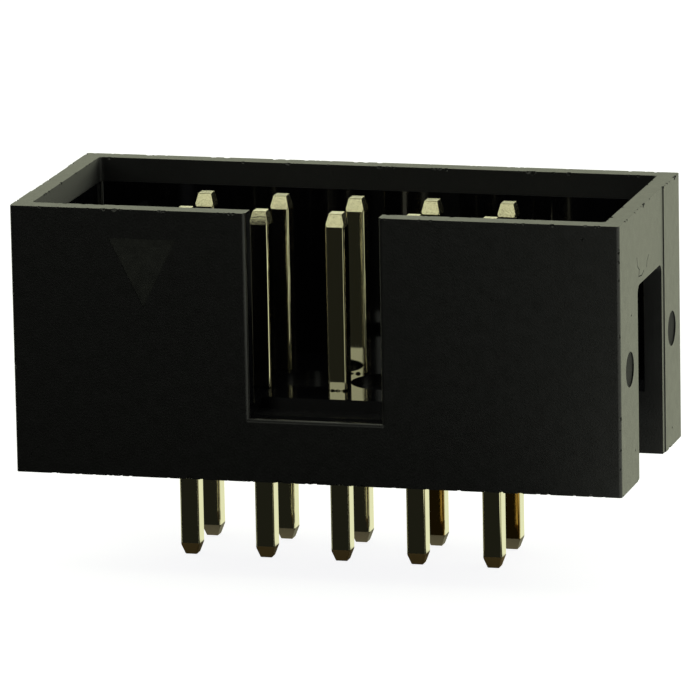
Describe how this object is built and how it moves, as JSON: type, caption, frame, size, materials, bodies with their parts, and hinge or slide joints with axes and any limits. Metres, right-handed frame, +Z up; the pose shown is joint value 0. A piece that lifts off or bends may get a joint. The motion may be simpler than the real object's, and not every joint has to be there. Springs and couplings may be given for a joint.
{
  "type": "idc box header",
  "caption": "Vertical through-hole box header: an open shroud with a key slot and arched end windows around two rows of square solder pins.",
  "frame": {"origin": "centre of the contact field, in the plane of the housing's underside that sits on the board", "axes": "+X along the rows, away from the first contact; +Y across the rows, away from the key slot; +Z up, out of the mouth, so the solder tails point along -Z"},
  "size_m": [0.02, 0.0088, 0.0121],
  "materials": {
    "housing_plastic": "fine-textured black glass-filled polyester, polished inside the cavity",
    "contact_metal": "drawn square wire with a pale gold flash"
  },
  "bodies": {
    "root": {"housing": "housing_plastic", "pin_1": "contact_metal", "pin_2": "contact_metal", "pin_3": "contact_metal", "pin_4": "contact_metal", "pin_5": "contact_metal", "pin_6": "contact_metal", "pin_7": "contact_metal", "pin_8": "contact_metal", "pin_9": "contact_metal", "pin_10": "contact_metal"}
  },
  "joints": []
}
